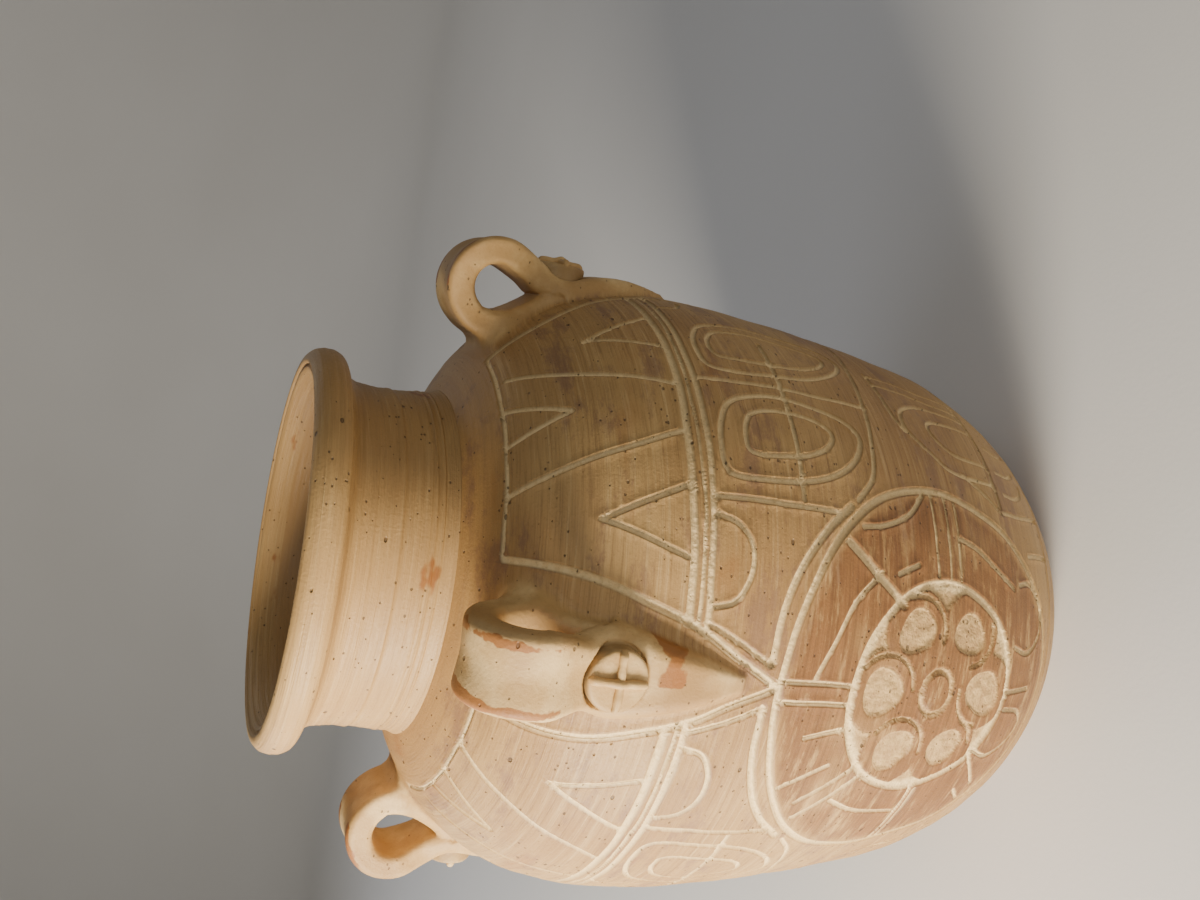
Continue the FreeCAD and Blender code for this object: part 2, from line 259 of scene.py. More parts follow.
LOOP_SHAPE = [
    (0, 0.82), (0.05, 0.97), (0.28, 1), (0.6, 0.97), (0.87, 0.87), (1, 0.62), (0.97, 0.3), (0.86, 0.09),
    (0.67, 0), (0.42, 0.06), (0.2, 0.22), (0.05, 0.46), (0, 0.82),
]


def loop(left, right, bottom, top):
    """A closed loop: square-shouldered above on its left, drawn to a blunt point below."""
    return [(left + (right - left) * u, bottom + (top - bottom) * v) for u, v in LOOP_SHAPE]


def panel_strokes():
    """What is scratched between one handle (0) and the next (90)."""
    upper = [
        [(18.5, 215), (24, 242)],
        [(24, 242), (30.3, 213)],
        [(29.2, 267), (32, 258.5), (34.8, 244), (37, 229), (39.4, 215)],
        [(41.5, 267), (45.5, 249)],
        [(45.5, 249), (51, 267)],
        [(61, 265), (55.5, 252), (52, 236), (49.6, 214)],
        [(59, 214), (62.5, 241)],
        [(62.5, 241), (69, 215)],
    ]
    lower = [
        [(11.2, 204.5), (12.4, 197), (16.5, 192), (21, 192), (24.3, 197), (25.7, 205)],
        [(28.3, 206), (28.3, 154)],
        [(51.2, 206), (51.4, 131)],
        [(29.5, 171.5), (64, 170.5)],
        [(31, 147), (36, 138.5), (44, 134.5), (52, 131), (62, 127), (72, 122), (81, 119), (90, 118)],
        [(75, 204.5), (76, 196), (80, 192)],
    ]
    strokes = [(LINE, points) for points in upper + lower]
    strokes += [(LINE * 1.1, loop(32, 48.6, 140.5, 202)), (LINE * 1.1, loop(53.8, 70.3, 131.5, 201))]
    strokes += [(LINE, loop(36.4, 45.6, 153.3, 192.3)), (LINE, loop(57.5, 67.2, 139.3, 194.5))]
    arch = [
        [(34.8, 68), (38, 77), (41, 87)],
        [(41, 67), (41, 92), (44, 103), (47.6, 111), (50.5, 112.5), (54, 109), (56.5, 99), (57.5, 87),
         (57.5, 67)],
        [(45.6, 67), (45.6, 86), (48, 95), (50.6, 97.5), (53, 94), (54, 83), (54, 67)],
        [(48, 112.5), (52, 116.5), (59, 117.3), (64, 117)],
        [(60.5, 117), (60.5, 67)],
        [(63.6, 117), (63.6, 64)],
        [(36, 67.5), (90, 67.5)],
        [(35, 66), (36, 52), (38.5, 33)],
        [(27.5, 52), (29, 31)],
        [(40, 61), (40.4, 52), (42.5, 44), (46, 40)],
        [(45.6, 61), (46.5, 50), (49, 43)],
        [(52, 61), (52.4, 50), (54.5, 42)],
        [(60.5, 63), (60.5, 45)],
    ]
    strokes += [(LINE, points) for points in arch]
    return strokes


def ring_strokes():
    """The rings under the shoulder and at its top, broken at each handle, and one ring near the foot."""
    strokes = [(LINE, [(a, 31) for a in range(0, 361, 15)])]
    broken = [(213, 8.7, BROAD), (209.6, 8, LINE * 0.6), (206.6, 7.2, LINE * 1.2), (267.2, 16.5, LINE * 0.8)]
    for height, gap, width in broken:
        for first in (0, 90, 180, 270):
            strokes.append((width, [(a + first, height) for a in np.linspace(gap, 90 - gap, 6)]))
    return strokes


def turned(strokes, by, mirrored=False):
    """Strokes moved round the body, or mirrored about the handle first."""
    sign = -1 if mirrored else 1
    return [(width, [(sign * a + by, z) for a, z in points]) for width, points in strokes]


def all_strokes():
    """The whole drawing: rings, handles, circles, and panels mirrored about the front and back handles."""
    strokes = ring_strokes()
    for quarter in range(4):
        strokes += turned(handle_strokes(), 90 * quarter)
    for by in CIRCLE_TURNS:
        strokes += turned(circle_strokes(), by)
    panels = panel_strokes()
    for by, mirrored in ((0, False), (0, True), (180, False), (180, True)):
        strokes += turned(panels, by, mirrored)
    return strokes


def resample(line, step):
    """A line of (angle, along) stepped evenly in true millimetres, with its sideways directions."""
    def true_lengths(path):
        radius = wall_radius(height_at(path[:-1, 1]))
        return np.hypot(np.radians(np.diff(path[:, 0])) * radius, np.diff(path[:, 1]))
    run = np.concatenate([[0], np.cumsum(true_lengths(line))])
    at = np.linspace(0, run[-1], max(2, int(round(run[-1] / step)) + 1))
    path = np.stack([np.interp(at, run, line[:, 0]), np.interp(at, run, line[:, 1])], -1)
    radius = wall_radius(height_at(path[:, 1]))
    forward = np.stack([np.radians(np.gradient(path[:, 0])) * radius, np.gradient(path[:, 1])], -1)
    forward /= np.maximum(np.linalg.norm(forward, axis=1), 1e-9)[:, None]
    side = np.stack([-forward[:, 1], forward[:, 0]], -1)
    return path, side, forward, radius, at


def offset(path, side, radius, away):
    """A line moved sideways by true millimetres."""
    moved = path.copy()
    moved[:, 0] += np.degrees(side[:, 0] * away / radius)
    moved[:, 1] += side[:, 1] * away
    return moved


def hand_drawn(points):
    """A stroke's line with the small waver of a hand."""
    path, side, _, radius, at = resample(curve(points), POINT_GAP)
    if abs(points[0][0] - points[-1][0]) > 359:
        turn = np.radians(path[:, 0])
        return offset(path, side, radius, 0.3 * np.sin(7 * turn) + 0.2 * np.sin(17 * turn))
    phase = rng.uniform(0, 2 * math.pi, 2)
    waver = 0.26 * np.sin(at / 14 + phase[0]) + 0.10 * np.sin(at / 4.6 + phase[1]) + rng.uniform(-0.3, 0.3)
    if np.allclose(points[0], points[-1]):
        waver = waver * np.clip(np.minimum(at, at[-1] - at) / 12, 0, 1)
    return offset(path, side, radius, waver)


# The relief: a fine chart of how deep the wall is cut, from which the meshes are raised.


CELL = 0.3
POINT_GAP = 1.5
COLUMNS = int(round(2 * math.pi * BELLY / CELL))
ROWS = int(ALONG[-1] / CELL) + 2
cut_chart = np.zeros((ROWS, COLUMNS), np.float32)
burr_chart = np.zeros((ROWS, COLUMNS), np.float32)


def stamp_line(path, width):
    """Cuts one stroke into the chart: flat bottomed, with a low burr thrown up at each edge."""
    fine, _, _, radius, at = resample(path, 1.5 * CELL)
    half = width / 2
    reach = 2.1 * half
    depth = DEPTH * min(1, width / LINE) * (0.85 + 0.15 * np.sin(at / 17 + rng.uniform(0, 6)))
    reach_v = int(math.ceil(reach / CELL))
    reach_u = int(math.ceil(reach / CELL * BELLY / radius.min()))
    rows = np.round(fine[:, 1] / CELL).astype(int)
    columns = np.round(fine[:, 0] / 360 * COLUMNS).astype(int)
    up, along = np.mgrid[-reach_v:reach_v + 1, -reach_u:reach_u + 1]
    r = rows[:, None, None] + up
    c = columns[:, None, None] + along
    across = (c * 360 / COLUMNS - fine[:, 0, None, None]) * math.pi / 180 * radius[:, None, None]
    away = np.hypot(across, r * CELL - fine[:, 1, None, None])
    cut = depth[:, None, None] * (1 - smooth(0.45 * half, 0.95 * half, away))
    burr = BURR * np.exp(-(((away - 1.25 * half) / (0.25 * half)) ** 2))
    r = np.clip(r, 0, ROWS - 1)
    c = c % COLUMNS
    np.maximum.at(cut_chart, (r, c), cut.astype(np.float32))
    np.maximum.at(burr_chart, (r, c), burr.astype(np.float32))


def chart_window(angle, height, wide, high):
    """The chart's rows and columns round an oval, and how far out of it each cell is (1 at its edge)."""
    margin = 1.2
    middle = along_at(height)
    reach = along_at(height + high) - middle
    rows = np.arange(int((middle - reach * margin) / CELL), int((middle + reach * margin) / CELL) + 1)
    first, last = (angle - wide * margin) / 360 * COLUMNS, (angle + wide * margin) / 360 * COLUMNS
    columns = np.arange(int(first), int(last) + 1)
    up = (rows * CELL - middle) / reach
    across = (columns * 360 / COLUMNS - angle) / wide
    v, u = np.meshgrid(up, across, indexing="ij")
    return rows, columns, u, v


def carve(rows, columns, amount):
    """Lowers a window of the chart to at least this depth."""
    rows = np.clip(rows, 0, ROWS - 1)
    index = np.ix_(rows, columns % COLUMNS)
    cut_chart[index] = np.maximum(cut_chart[index], amount.astype(np.float32))


def rough(u, v, seed):
    """The scraped floor of a carved place."""
    scoops = 0.26 * np.sin(u * 9 + seed) * np.sin(v * 7 + 2 * seed)
    return 0.5 + scoops + 0.24 * np.sin(u * 21 + v * 17 + seed)


def carve_flower(by):
    """Cuts six petals, and the fillings between the flower's ring and the rounds that the petals lie in."""
    angle, height, wide, high = FLOWER
    rows, columns, u, v = chart_window(angle + by, height, wide, high)
    out = np.hypot(u, v)
    past_petals, past_ring = smooth(0.70, 0.76, out), smooth(0.97, 1.0, out)
    filled = past_petals * (1 - past_ring)
    for turn in PETAL_TURNS:
        t = math.radians(turn)
        island = np.hypot(u - PETAL_ORBIT * math.cos(t), v - PETAL_ORBIT * math.sin(t))
        filled = filled * smooth(0.375, 0.40, island)
    carve(rows, columns, FILLING_DEPTH * filled * (0.75 + 0.35 * rough(u * 3, v * 3, by)))
    for number, (p_angle, p_height, p_wide, p_high) in enumerate(petals()):
        rows, columns, u, v = chart_window(p_angle + by, p_height, p_wide, p_high)
        lean, edge_at = petal_shape(number)
        out = np.hypot(u + lean * v, v) / edge_at(np.arctan2(v, u))
        carve(rows, columns, PETAL_DEPTH * (1 - smooth(0.86, 0.98, out)) * (0.7 + 0.4 * rough(u, v, number)))


def read_chart(chart, angle, along):
    """The chart's value between its cells."""
    u = np.asarray(angle) / 360 * COLUMNS
    v = np.clip(np.asarray(along) / CELL, 0, ROWS - 1.001)
    u0, v0 = np.floor(u).astype(int), np.floor(v).astype(int)
    fu, fv = u - u0, v - v0
    a, b = chart[v0, u0 % COLUMNS], chart[v0, (u0 + 1) % COLUMNS]
    c, d = chart[v0 + 1, u0 % COLUMNS], chart[v0 + 1, (u0 + 1) % COLUMNS]
    return (a * (1 - fu) + b * fu) * (1 - fv) + (c * (1 - fu) + d * fu) * fv


# The wall's meshes: points in rows along every stroke, closer where it is carved, wide apart elsewhere.


SEAM_ANGLE = 225.0
OPEN_GAP = 3.3
EDGE_GAP = 1.0
INNER_ROW = 5
INNER_TURN = 3.0


def stroke_points(lines):
    """Rows of points beside every stroke, and round its ends."""
    found = []
    for width, line in lines:
        half = width / 2
        path, side, forward, radius, _ = resample(line, POINT_GAP)
        for away in (-1.9, -1.35, -0.95, -0.5, 0.5, 0.95, 1.35, 1.9):
            found.append(offset(path, side, radius, away * half))
        for end, way in ((0, -1), (-1, 1)):
            for out in (0.5, 0.95, 1.4):
                for turn in np.radians((-60, 0, 60)):
                    step = (forward[end] * way * math.cos(turn) + side[end] * math.sin(turn)) * half * out
                    point = path[end] + [math.degrees(step[0] / radius[end]), step[1]]
                    found.append(point[None])
    return np.vstack(found)


def edge_points(by):
    """Rows of points along the edges of the petals and of the rounds that they lie in."""
    angle, height, wide, high = FLOWER
    middle = along_at(height)
    reach = along_at(height + high) - middle
    turns = np.linspace(0, 2 * math.pi, 44, endpoint=False)
    found = []
    for number, (p_angle, p_height, p_wide, p_high) in enumerate(petals()):
        p_middle = along_at(p_height)
        p_reach = along_at(p_height + p_high) - p_middle
        lean, edge_at = petal_shape(number)
        for share in (0.80, 0.88, 0.96, 1.05):
            around_edge = share * edge_at(turns)
            across = around_edge * (np.cos(turns) - lean * np.sin(turns))
            found.append(np.stack([p_angle + by + p_wide * across,
                                   p_middle + p_reach * around_edge * np.sin(turns)], -1))
    for turn in PETAL_TURNS:
        t = math.radians(turn)
        for share in (0.36, 0.378, 0.397, 0.415):
            across = PETAL_ORBIT * math.cos(t) + share * np.cos(turns)
            up = PETAL_ORBIT * math.sin(t) + share * np.sin(turns)
            row = np.stack([angle + by + wide * across, middle + reach * up], -1)
            found.append(row[(np.hypot(across, up) > 0.68) & (np.hypot(across, up) < 1)])
    return np.vstack(found)


def filled_points(by):
    """A close spread of points over the flower, where the wall is carved away."""
    angle, height, wide, high = FLOWER
    low, top = along_at(height - high * 1.02), along_at(height + high * 1.02)
    half = math.radians(wide * 1.02) * wall_radius(height)
    gap, stray = 1.25, 0.25
    u, v = np.meshgrid(np.arange(-half, half, gap), np.arange(low, top, gap))
    u = u + rng.uniform(-stray, stray, u.shape)
    v = v + rng.uniform(-stray, stray, v.shape)
    keep = np.hypot(u / half, (v - (low + top) / 2) / ((top - low) / 2)) < 1
    return np.stack([angle + by + np.degrees(u[keep] / wall_radius(height)), v[keep]], -1)


def open_points(low, high, gap):
    """A wide, even spread of points over the plain wall."""
    width = 2 * math.pi * BELLY
    columns, rows = int(width / gap), int((high - low) / gap)
    u, v = np.meshgrid(np.arange(columns) + 0.5, np.arange(rows) + 0.5)
    u = (u + 0.5 * (v.astype(int) % 2)) / columns * 360
    return np.stack([u.ravel() + SEAM_ANGLE - 360, (low + v * (high - low) / rows).ravel()], -1)


def thinned(points, gap):
    """The points with any that crowd an earlier one left out."""
    cells = np.round(points / gap).astype(np.int64)
    _, first = np.unique(cells[:, 0] * 1_000_003 + cells[:, 1], return_index=True)
    return points[np.sort(first)]


def wall_points(lines, low, high):
    """Every point of a piece of wall between two distances along its line, laid out flat, and the scale."""
    close = [edge_points(by) for by in CIRCLE_TURNS] + [filled_points(by) for by in CIRCLE_TURNS]
    close = np.vstack([stroke_points(lines)] + close)
    close[:, 0] = (close[:, 0] - SEAM_ANGLE) % 360 + SEAM_ANGLE - 360
    wide = open_points(low, high, OPEN_GAP)
    wide = wide[(read_chart(cut_chart, *wide.T) < 0.01) & (read_chart(burr_chart, *wide.T) < 0.01)]
    points = np.vstack([close, wide])
    scale = math.radians(1) * BELLY
    flat = np.stack([(points[:, 0] - SEAM_ANGLE + 360) * scale, points[:, 1]], -1)
    around = 360 * scale
    inside = (flat > (0.6, low + 0.5)).all(1) & (flat < (around - 0.6, high - 0.5)).all(1)
    flat = thinned(flat[inside], 0.5)
    edge_v = np.linspace(low, high, int((high - low) / EDGE_GAP))
    edge_u = np.linspace(0, around, int(around / EDGE_GAP))
    border = [np.stack([np.full_like(edge_v, u), edge_v], -1) for u in (0, around)]
    border += [np.stack([edge_u[1:-1], np.full(len(edge_u) - 2, v)], -1) for v in (low, high)]
    return np.vstack(border + [flat]), scale


def wall_faces(flat):
    """Triangles over points laid out flat."""
    verts, _, faces, *_ = delaunay_2d_cdt([Vector(p) for p in flat.tolist()], [], [], 0, 1e-5, False)
    return np.array([tuple(v) for v in verts]), np.array([tuple(f) for f in faces if len(f) == 3])


def new_mesh(name, verts, faces):
    """A smooth-shaded mesh object from arrays."""
    mesh = bpy.data.meshes.new(name)
    mesh.from_pydata(verts.tolist(), [], faces.tolist())
    mesh.polygons.foreach_set("use_smooth", np.ones(len(mesh.polygons), bool))
    mesh.update()
    piece = bpy.data.objects.new(name, mesh)
    bpy.context.scene.collection.objects.link(piece)
    return piece


def ring_index(rows, columns):
    """The numbers of a grid's points that closes round the axis, and of the next point round from each."""
    index = np.arange(rows * columns).reshape(rows, columns)
    return index, np.roll(index, -1, axis=1)


def paint(piece, name, values):
    """Stores one number per vertex for the materials to read."""
    layer = piece.data.attributes.new(name, "FLOAT", "POINT")
    layer.data.foreach_set("value", np.asarray(values, np.float32))


def within(ring, angle, height, low, high):
    """1 inside an oval of the front or the back, 0 past its edge, with a soft change between two shares."""
    ring_angle, ring_height, half_wide, half_high = ring
    local = (np.asarray(angle) + 90) % 180 - 90
    out = np.hypot((local - ring_angle) / half_wide, (height - ring_height) / half_high)
    return 1 - smooth(low, high, out)


def build_wall(name, node, lines, low_height, high_height):
    """A piece of the body's wall with the drawing cut into its outer face."""
    low, high = along_at(low_height), along_at(high_height)
    flat, scale = wall_points(lines, low, high)
    flat, faces = wall_faces(flat)
    angle = flat[:, 0] / scale + SEAM_ANGLE - 360
    height = height_at(flat[:, 1])
    cut = read_chart(cut_chart, angle, flat[:, 1])
    burr = read_chart(burr_chart, angle, flat[:, 1]) * (1 - smooth(0.02, 0.2, cut))
    slope = wall_slope(height)
    facing = np.hypot(1, slope)
    raised = burr - cut
    radius = wall_radius(height) + wobble(angle, height) + raised / facing
    verts = place(angle, radius, height - raised * slope / facing)
    inner_rows = int((high_height - low_height) / INNER_ROW)
    inner_heights = np.linspace(low_height, high_height, inner_rows)
    grid_a, grid_z = np.meshgrid(np.arange(0, 360, INNER_TURN), inner_heights)
    grid_r = np.maximum(wall_radius(grid_z) - WALL * np.hypot(1, wall_slope(grid_z)), NECK_BORE)
    grid_r = grid_r + 0.35 * np.sin(grid_z / 4.5)
    inner = place(grid_a.ravel(), grid_r.ravel(), grid_z.ravel())
    index, right = ring_index(*grid_a.shape)
    quads = np.stack([index[:-1], index[1:], right[1:], right[:-1]], -1).reshape(-1, 4)
    inner_faces = np.vstack([quads[:, [0, 1, 2]], quads[:, [0, 2, 3]]]) + len(verts)
    piece = new_mesh(name, np.vstack([verts, inner]), np.vstack([faces, inner_faces]))
    none = np.zeros(len(inner))
    paint(piece, "cut", np.concatenate([smooth(0.08, 0.45, cut), none]))
    paint(piece, "wash", np.concatenate([within(CIRCLE, angle, height, 0.93, 0.985), none]))
    paint(piece, "flower", np.concatenate([within(FLOWER, angle, height, 0.90, 0.96), none]))
    paint(piece, "inside", np.concatenate([np.zeros(len(verts)), none + 1]))
    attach(piece, "root")
    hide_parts(node)
    return piece


# Turned pieces: neck and rim.


def profile(*runs):
    """Smooth lines through (radius, height) points, joined end to end into one closed line."""
    lines = []
    for run in runs:
        run = np.array(run, float)
        lines += [spline(np.vstack([run[:1], run, run[-1:]]), 6), run[-1:]]
    return np.vstack(lines)


def turn_piece(name, nodes, line, stray):
    """A closed line turned about the axis, with a little stray in the radius."""
    angles = np.arange(0, 360, 1.25)
    grid_a, _ = np.meshgrid(angles, line[:, 0])
    grid_r = np.repeat(line[:, :1], len(angles), 1)
    grid_z = np.repeat(line[:, 1:], len(angles), 1)
    grid_r = grid_r + stray(grid_a, grid_z)
    verts = place(grid_a.ravel(), grid_r.ravel(), grid_z.ravel())
    index, right = ring_index(*grid_a.shape)
    up, up_right = np.roll(index, -1, axis=0), np.roll(right, -1, axis=0)
    quads = np.stack([index, right, up_right, up], -1).reshape(-1, 4)
    piece = new_mesh(name, verts, quads)
    inside = line[:, 0] < NECK_BORE + 4
    paint(piece, "inside", np.repeat(inside.astype(float), len(angles)))
    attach(piece, "root")
    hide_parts(*nodes)
    return piece


def neck_stray(angle, height):
    """How far the neck and rim stray from round."""
    turn = np.radians(angle)
    lift = np.clip((height - NECK_FOOT) / 10, 0, 1)
    stray = 0.3 * np.sin(2 * turn + 1) + 0.15 * np.sin(3 * turn + height / 12)
    return lift * (stray + 0.06 * np.sin(height * 2.1))


def neck_line():
    """The neck in section: flared foot, two fine ridges above it, a plain wall marked by the fingers."""
    foot = float(wall_radius(NECK_FOOT))
    outer = [(foot, 0), (foot - 0.9, 2), (foot - 1.4, 4.2)]
    for ridge in (5.6, 8.4):
        outer += [(foot - 1.6, ridge - 0.7), (foot - 1.25, ridge), (foot - 1.6, ridge + 0.7)]
    outer += [(NECK + 0.3, 10.8), (NECK, 14), (NECK - 0.4, 18.5), (NECK, 20.5), (NECK - 0.4, 24)]
    outer.append((NECK, 29.9))
    inner = [(NECK_BORE, 29.9), (NECK_BORE - 0.2, 15), (NECK_BORE, 0)]
    return profile(*[[(out, NECK_FOOT + up) for out, up in run] for run in (outer, inner)])


def rim_line():
    """The rolled rim in section: flare, full outer roll, a scored line on top, bevel into the mouth."""
    widest = span("rim_ring", 0)[1] - 0.3
    flare = [(NECK - 0.4, -2), (NECK + 0.05, -0.5), (NECK + 0.3, 2.6), (NECK + 1.2, 5.4), (NECK + 3.2, 7.8)]
    roll = [(4.2, 13.6), (2.0, 12.6), (0.5, 10.6), (0, 8), (0.3, 4.8), (1.6, 2.2), (3.6, 0.5), (5.6, 0.0)]
    bevel = [(6.7, 0.4), (7.2, 1.7), (7.8, 1.8), (8.4, 0.9), (9.6, 1.6), (11.4, 4.2), (13.6, 8.5)]
    bevel += [(15.8, 13), (17.4, 18)]
    outer = [(out, RIM_FOOT + up) for out, up in flare]
    outer += [(widest - inward, TOP - down) for inward, down in roll + bevel]
    outer.append((NECK_BORE, RIM_FOOT))
    return profile(outer)


# Handles: each is the outside of a solid given by how far every point of a grid is from it.


def surface_of(field, corner, step):
    """The surface where a grid of distances passes through zero, as points and four-sided faces."""
    inside = field < 0
    shape = np.array(field.shape) - 1
    corners = [(i, j, k) for i in (0, 1) for j in (0, 1) for k in (0, 1)]

    def part(values, at):
        return values[at[0]:at[0] + shape[0], at[1]:at[1] + shape[1], at[2]:at[2] + shape[2]]

    count = sum(part(inside, at).astype(int) for at in corners)
    mixed = (count > 0) & (count < 8)
    total = np.zeros(tuple(shape) + (3,))
    hits = np.zeros(tuple(shape))
    for axis in range(3):
        for at in corners:
            if at[axis]:
                continue
            other = tuple(c + (n == axis) for n, c in enumerate(at))
            a, b = part(field, at), part(field, other)
            crosses = (a < 0) != (b < 0)
            share = np.where(crosses, a / np.where(crosses, a - b, 1), 0)
            for n in range(3):
                total[..., n] += crosses * (at[n] + (share if n == axis else 0))
            hits += crosses
    number = -np.ones(tuple(shape), int)
    number[mixed] = np.arange(mixed.sum())
    where = np.argwhere(mixed)
    points = (where + total[mixed] / hits[mixed][:, None]) * step + corner
    faces = []
    for axis in range(3):
        u, v = (axis + 1) % 3, (axis + 2) % 3
        first = np.take(inside, range(field.shape[axis] - 1), axis)
        second = np.take(inside, range(1, field.shape[axis]), axis)
        for into, crossing in ((True, first & ~second), (False, ~first & second)):
            at = np.argwhere(crossing)
            at = at[(at[:, u] > 0) & (at[:, v] > 0) & (at[:, u] < shape[u]) & (at[:, v] < shape[v])]
            ring = []
            for du, dv in ((0, 0), (-1, 0), (-1, -1), (0, -1)):
                cell = at.copy()
                cell[:, u] += du
                cell[:, v] += dv
                ring.append(number[cell[:, 0], cell[:, 1], cell[:, 2]])
            quad = np.stack(ring, -1)
            faces.append(quad if into else quad[:, ::-1])
    return points, np.vstack(faces)


def rounded(a, b, edge):
    """How far points are from a rounded bar, from how far past its faces they are plus the edge."""
    return np.hypot(np.maximum(a, 0), np.maximum(b, 0)) + np.minimum(np.maximum(a, b), 0) - edge


def melt(a, b, reach):
    """Two solids joined with a soft fillet."""
    share = np.maximum(reach - np.abs(a - b), 0) / reach
    return np.minimum(a, b) - share**2 * reach / 4


def grid(low, high, step):
    """A grid of points between two corners, as three arrays."""
    axes = [np.arange(a, b + step, step) for a, b in zip(low, high)]
    return np.meshgrid(*axes, indexing="ij")


# Where the handle's parts are, out from the axis and up. The button's numbers are the CAD piece's.
SEAT = span("medallion_right", 0)[0]
FACE = span("medallion_right", 0)[1]
BOSS_LOW, BOSS_HIGH = span("medallion_right", 2)
BOSS_HEIGHT = (BOSS_LOW + BOSS_HIGH) / 2
BOSS_RADIUS = (BOSS_HIGH - BOSS_LOW) / 2
LOOP_OUT, LOOP_UP, LOOP_RADIUS = 114.6, 264.9, 14.7
LOOP_THICK = 5.4
STRAP_HALF = 13.2


def strap_stations():
    """The strap's middle line and size at a few places: (out, up, half thickness, half width)."""
    stations = [(116, 239.5, 4.5, 14), (108, 248.5, 4.8, 13.2), (100, 258, 6.5, 15)]
    for turn in range(160, -40, -20):
        t = math.radians(turn)
        out, up = LOOP_OUT + LOOP_RADIUS * math.cos(t), LOOP_UP + LOOP_RADIUS * math.sin(t)
        stations.append((out, up, LOOP_THICK, STRAP_HALF))
    stations += [(124.2, 251, 5.5, 11.4), (120.2, 244.5, 5.8, 13), (117.4, 236, 6.8, 15.4)]
    tail = [(227, 6.8, 14.4), (218, 6.6, 12.0), (208, 5.2, 9.0), (199, 3.4, 5.8), (191.5, 1.4, 2.8)]
    stations += [(float(wall_radius(height)), height, thick, half) for height, thick, half in tail]
    return np.array(stations)


def strap_field(x, y, z):
    """How far points are from the strap: a flat band with rounded edges and a shallow hollow along it."""
    stations = strap_stations()
    line = spline(np.vstack([stations[:1], stations, stations[-1:]]), 8)
    flat = np.stack([x[:, 0, :], z[:, 0, :]], -1)
    away = np.hypot(flat[..., None, 0] - line[:, 0], flat[..., None, 1] - line[:, 1])
    near = away.argmin(-1)
    nearest = away.min(-1)
    ahead = np.gradient(line[:, :2], axis=0)
    ahead /= np.linalg.norm(ahead, axis=1)[:, None]
    offset_out = flat - line[near, :2]
    outer_side = offset_out[..., 0] * -ahead[near, 1] + offset_out[..., 1] * ahead[near, 0] > 0
    thick, half = line[near, 2], line[near, 3]
    on_loop = smooth(LOOP_UP - 22, LOOP_UP - 12, line[near, 1])
    hollow = (0.8 * on_loop * outer_side)[:, None, :] * np.exp(-((y / (0.5 * half[:, None, :])) ** 2))
    thick = thick[:, None, :] - hollow
    corner = np.minimum(thick, half[:, None, :]) * (0.88 - 0.34 * on_loop[:, None, :])
    a = nearest[:, None, :] - thick + corner
    b = np.abs(y) - half[:, None, :] + corner
    return rounded(a, b, corner)


def button_field(x, out):
    """The round button pressed onto the strap, domed above and rounded at its edge."""
    middle = (SEAT + FACE) / 2 - 1.2
    half = (FACE - SEAT) / 2 + 2.0
    edge = 1.8
    button = rounded(np.abs(x - middle) - half + edge, out - BOSS_RADIUS + edge, edge)
    return np.maximum(button, x - dome(out))


def dome(out):
    """How far out from the vessel's axis the button's face is, this far from its own middle."""
    return FACE + 0.7 - 0.004 * out**2


def polar(x, y, number):
    """Radius and angle of points x outwards and y sideways, for the handle with a number."""
    return np.hypot(x, y), np.degrees(np.arctan2(y, x)) + 90 * number


def in_place(points, number):
    """Points given outwards, sideways and up, moved round to the handle with a number."""
    out, angle = polar(points[:, 0], points[:, 1], number)
    return place(angle, out, points[:, 2])


def handle_field(x, y, z, number):
    """The whole handle melted onto the wall, and how far each point is from the wall alone."""
    sway = 0.5 * np.sin(z / 13 + number * 2.1)
    out, angle = polar(x, y, number)
    height = np.clip(z, FLOOR + 1, NECK_FOOT - 0.5)
    slope = wall_slope(height)
    wall = (out - wall_radius(height) - wobble(angle, height)) / np.hypot(1, slope)
    wall = np.where(z > NECK_FOOT - 0.5, np.maximum(wall, 1), wall)
    ripple = 0.16 * np.sin(x / 3.1 + number) * np.sin(z / 4.3) * np.sin(y / 3.7)
    strap = strap_field(x, y - sway, z) + ripple
    from_middle = np.hypot(y, z - BOSS_HEIGHT)
    crease = 0.8 - np.hypot(from_middle - BOSS_RADIUS - 0.3, np.maximum(SEAT - 0.4 - x, 0))
    strap = np.minimum(np.maximum(strap, crease), button_field(x, from_middle))
    reach = 3.0 + 7.0 * smooth(244, 262, z)
    return melt(strap, wall, reach), wall


def build_handle(side, number):
    """One handle with its boss, its foot and tail drawn out smoothly onto the wall."""
    step = 0.75
    corner, far_corner = (72.0, -26.0, 182.0), (137.0, 26.0, 290.0)
    x, y, z = grid(corner, far_corner, step)
    field, wall = handle_field(x, y, z, number)
    points, quads = surface_of(field, np.array(corner), step)
    cells = np.clip(((points - corner) / step).round().astype(int), 0, np.array(field.shape) - 1)
    radius = wall_radius(np.clip(points[:, 2], FLOOR + 1, NECK_FOOT))
    out, angle = polar(points[:, 0], points[:, 1], number)
    clear = out - radius - wobble(angle, points[:, 2])
    clear = np.maximum(clear, wall[tuple(cells.T)] - 0.6)
    kept = quads[(clear[quads] > 0.05).any(1)]
    used, packed = np.unique(kept, return_inverse=True)
    kept = packed.reshape(kept.shape)
    points = points[used]
    piece = new_mesh("strap_" + side, in_place(points, number), kept)
    paint_handle(piece, points)
    paint(piece, "proud", smooth(0.3, 3.0, clear[used]))
    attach(piece, "root")
    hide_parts("handle_" + side, "medallion_" + side)
    return piece


